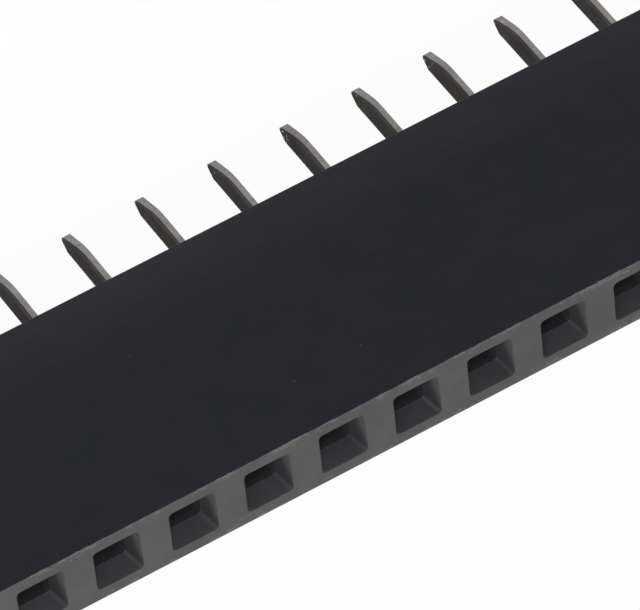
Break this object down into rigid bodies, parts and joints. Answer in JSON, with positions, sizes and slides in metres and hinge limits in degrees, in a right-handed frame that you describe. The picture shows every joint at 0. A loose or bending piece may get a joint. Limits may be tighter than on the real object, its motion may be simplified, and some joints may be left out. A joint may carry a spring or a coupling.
{
  "type": "female pin header strip",
  "caption": "Single-row female header: black moulded housing with square funnel-mouthed sockets, sprung metal contacts inside and flat pointed solder tails on the board side.",
  "frame": {"origin": "middle of the housing's board face, the flat face that sits on the circuit board", "axes": "+X along the row, +Y across the row, +Z from the board towards the socket face; the solder tails point along -Z"},
  "size_m": [0.0512, 0.0026, 0.0118],
  "materials": {
    "housing_plastic": "moulded black glass-filled plastic, smooth along its sides and dull grey on the socket face",
    "contact_metal": "matt tin plating over stamped bronze sheet"
  },
  "bodies": {
    "root": {"housing": "housing_plastic", "contact_01": "contact_metal", "contact_02": "contact_metal", "contact_03": "contact_metal", "contact_04": "contact_metal", "contact_05": "contact_metal", "contact_06": "contact_metal", "contact_07": "contact_metal", "contact_08": "contact_metal", "contact_09": "contact_metal", "contact_10": "contact_metal", "contact_11": "contact_metal", "contact_12": "contact_metal", "contact_13": "contact_metal", "contact_14": "contact_metal", "contact_15": "contact_metal", "contact_16": "contact_metal", "contact_17": "contact_metal", "contact_18": "contact_metal", "contact_19": "contact_metal", "contact_20": "contact_metal"}
  },
  "joints": []
}
